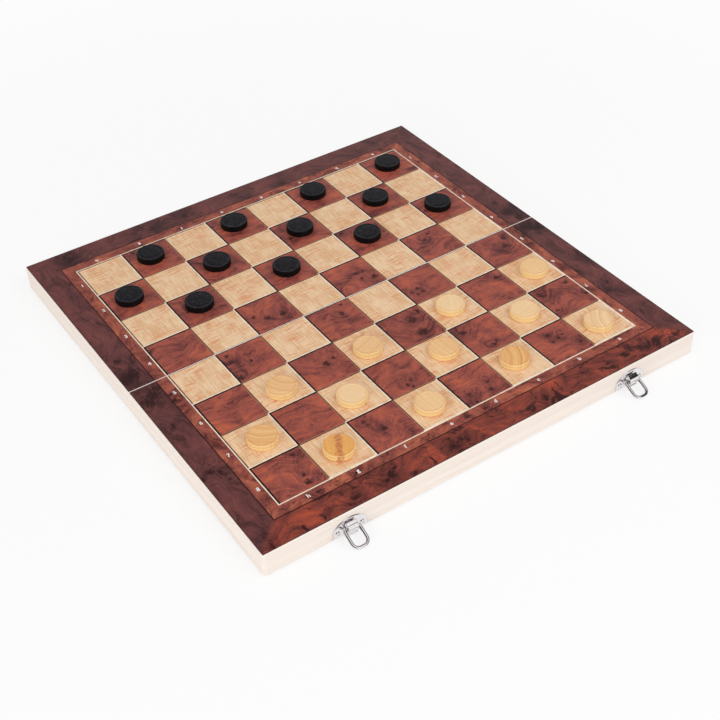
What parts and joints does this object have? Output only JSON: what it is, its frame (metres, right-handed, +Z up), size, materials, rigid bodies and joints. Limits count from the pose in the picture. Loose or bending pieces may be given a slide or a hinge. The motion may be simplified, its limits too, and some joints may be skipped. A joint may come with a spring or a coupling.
{
  "type": "folding games box",
  "caption": "Folding wooden games box, opened flat with its draughts and chess board up, two hinged trays, toggle latches and turned draughts.",
  "frame": {"origin": "middle of the open board's footprint, on the surface that it lies on", "axes": "+X along the seam and hinges, +Y from the latches to the back half, +Z up from the surface through the playing face"},
  "size_m": [0.39, 0.4124, 0.0269],
  "materials": {
    "pale_wood": "bare pale softwood and plywood, sanded smooth",
    "board_print": "satin printed sheet of burl and maple squares",
    "inner_print": "satin printed sheet with backgammon points",
    "hinges": "plated, satin",
    "latches": "bright nickel plate",
    "black_draughts": "matt black stain",
    "light_draughts": "natural turned wood"
  },
  "bodies": {
    "back_half": {"back_spine_wall": "pale_wood", "back_far_wall": "pale_wood", "back_left_wall": "pale_wood", "back_right_wall": "pale_wood", "back_panel": "pale_wood", "back_board_print": "board_print", "back_inner_print": "inner_print", "left_hinge_leaf_back": "hinges", "right_hinge_leaf_back": "hinges", "hinge_pins": "hinges", "hinge_screws_back": "hinges", "left_catch_plate": "latches", "right_catch_plate": "latches", "catch_screws": "latches"},
    "front_half": {"front_spine_wall": "pale_wood", "front_latch_wall": "pale_wood", "front_left_wall": "pale_wood", "front_right_wall": "pale_wood", "front_panel": "pale_wood", "front_board_print": "board_print", "front_inner_print": "inner_print", "left_hinge_leaf_front": "hinges", "right_hinge_leaf_front": "hinges", "hinge_screws_front": "hinges", "left_latch_plate": "latches", "right_latch_plate": "latches", "latch_screws": "latches", "latch_pins": "latches"},
    "left_lever": {"left_lever": "latches"},
    "left_bail": {"left_bail": "latches"},
    "right_lever": {"right_lever": "latches"},
    "right_bail": {"right_bail": "latches"},
    "black_draught_1": {"black_draught_1": "black_draughts"},
    "black_draught_2": {"black_draught_2": "black_draughts"},
    "black_draught_3": {"black_draught_3": "black_draughts"},
    "black_draught_4": {"black_draught_4": "black_draughts"},
    "black_draught_5": {"black_draught_5": "black_draughts"},
    "black_draught_6": {"black_draught_6": "black_draughts"},
    "black_draught_7": {"black_draught_7": "black_draughts"},
    "black_draught_8": {"black_draught_8": "black_draughts"},
    "black_draught_9": {"black_draught_9": "black_draughts"},
    "black_draught_10": {"black_draught_10": "black_draughts"},
    "black_draught_11": {"black_draught_11": "black_draughts"},
    "black_draught_12": {"black_draught_12": "black_draughts"},
    "light_draught_1": {"light_draught_1": "light_draughts"},
    "light_draught_2": {"light_draught_2": "light_draughts"},
    "light_draught_3": {"light_draught_3": "light_draughts"},
    "light_draught_4": {"light_draught_4": "light_draughts"},
    "light_draught_5": {"light_draught_5": "light_draughts"},
    "light_draught_6": {"light_draught_6": "light_draughts"},
    "light_draught_7": {"light_draught_7": "light_draughts"},
    "light_draught_8": {"light_draught_8": "light_draughts"},
    "light_draught_9": {"light_draught_9": "light_draughts"},
    "light_draught_10": {"light_draught_10": "light_draughts"},
    "light_draught_11": {"light_draught_11": "light_draughts"},
    "light_draught_12": {"light_draught_12": "light_draughts"}
  },
  "joints": [
    {"name": "case_fold", "type": "hinge", "parent": "back_half", "child": "front_half", "pos_m": [0, 0.00616, 0.0012], "axis": [1, 0, 0], "range_deg": [0, 180]},
    {"name": "left_lever_swing", "type": "hinge", "parent": "front_half", "child": "left_lever", "pos_m": [-0.1275, -0.19182, 0.0037], "axis": [-1, 0, 0], "range_deg": [-120, 0]},
    {"name": "left_bail_swing", "type": "hinge", "parent": "left_lever", "child": "left_bail", "pos_m": [-0.1275, -0.19149, 0.0076], "axis": [1, 0, 0], "range_deg": [-99.7, 65.89]},
    {"name": "right_lever_swing", "type": "hinge", "parent": "front_half", "child": "right_lever", "pos_m": [0.1275, -0.19182, 0.0037], "axis": [-1, 0, 0], "range_deg": [-120, 0]},
    {"name": "right_bail_swing", "type": "hinge", "parent": "right_lever", "child": "right_bail", "pos_m": [0.1275, -0.19149, 0.0076], "axis": [1, 0, 0], "range_deg": [-99.7, 65.89]},
    {"name": "black_draught_1_lift", "type": "slide", "parent": "back_half", "child": "black_draught_1", "axis": [0, 0, 1], "range_m": [0, 0.03]},
    {"name": "black_draught_2_lift", "type": "slide", "parent": "back_half", "child": "black_draught_2", "axis": [0, 0, 1], "range_m": [0, 0.03]},
    {"name": "black_draught_3_lift", "type": "slide", "parent": "back_half", "child": "black_draught_3", "axis": [0, 0, 1], "range_m": [0, 0.03]},
    {"name": "black_draught_4_lift", "type": "slide", "parent": "back_half", "child": "black_draught_4", "axis": [0, 0, 1], "range_m": [0, 0.03]},
    {"name": "black_draught_5_lift", "type": "slide", "parent": "back_half", "child": "black_draught_5", "axis": [0, 0, 1], "range_m": [0, 0.03]},
    {"name": "black_draught_6_lift", "type": "slide", "parent": "back_half", "child": "black_draught_6", "axis": [0, 0, 1], "range_m": [0, 0.03]},
    {"name": "black_draught_7_lift", "type": "slide", "parent": "back_half", "child": "black_draught_7", "axis": [0, 0, 1], "range_m": [0, 0.03]},
    {"name": "black_draught_8_lift", "type": "slide", "parent": "back_half", "child": "black_draught_8", "axis": [0, 0, 1], "range_m": [0, 0.03]},
    {"name": "black_draught_9_lift", "type": "slide", "parent": "back_half", "child": "black_draught_9", "axis": [0, 0, 1], "range_m": [0, 0.03]},
    {"name": "black_draught_10_lift", "type": "slide", "parent": "back_half", "child": "black_draught_10", "axis": [0, 0, 1], "range_m": [0, 0.03]},
    {"name": "black_draught_11_lift", "type": "slide", "parent": "back_half", "child": "black_draught_11", "axis": [0, 0, 1], "range_m": [0, 0.03]},
    {"name": "black_draught_12_lift", "type": "slide", "parent": "back_half", "child": "black_draught_12", "axis": [0, 0, 1], "range_m": [0, 0.03]},
    {"name": "light_draught_1_lift", "type": "slide", "parent": "front_half", "child": "light_draught_1", "axis": [0, 0, 1], "range_m": [0, 0.03]},
    {"name": "light_draught_2_lift", "type": "slide", "parent": "front_half", "child": "light_draught_2", "axis": [0, 0, 1], "range_m": [0, 0.03]},
    {"name": "light_draught_3_lift", "type": "slide", "parent": "front_half", "child": "light_draught_3", "axis": [0, 0, 1], "range_m": [0, 0.03]},
    {"name": "light_draught_4_lift", "type": "slide", "parent": "front_half", "child": "light_draught_4", "axis": [0, 0, 1], "range_m": [0, 0.03]},
    {"name": "light_draught_5_lift", "type": "slide", "parent": "front_half", "child": "light_draught_5", "axis": [0, 0, 1], "range_m": [0, 0.03]},
    {"name": "light_draught_6_lift", "type": "slide", "parent": "front_half", "child": "light_draught_6", "axis": [0, 0, 1], "range_m": [0, 0.03]},
    {"name": "light_draught_7_lift", "type": "slide", "parent": "front_half", "child": "light_draught_7", "axis": [0, 0, 1], "range_m": [0, 0.03]},
    {"name": "light_draught_8_lift", "type": "slide", "parent": "front_half", "child": "light_draught_8", "axis": [0, 0, 1], "range_m": [0, 0.03]},
    {"name": "light_draught_9_lift", "type": "slide", "parent": "front_half", "child": "light_draught_9", "axis": [0, 0, 1], "range_m": [0, 0.03]},
    {"name": "light_draught_10_lift", "type": "slide", "parent": "front_half", "child": "light_draught_10", "axis": [0, 0, 1], "range_m": [0, 0.03]},
    {"name": "light_draught_11_lift", "type": "slide", "parent": "front_half", "child": "light_draught_11", "axis": [0, 0, 1], "range_m": [0, 0.03]},
    {"name": "light_draught_12_lift", "type": "slide", "parent": "front_half", "child": "light_draught_12", "axis": [0, 0, 1], "range_m": [0, 0.03]}
  ]
}
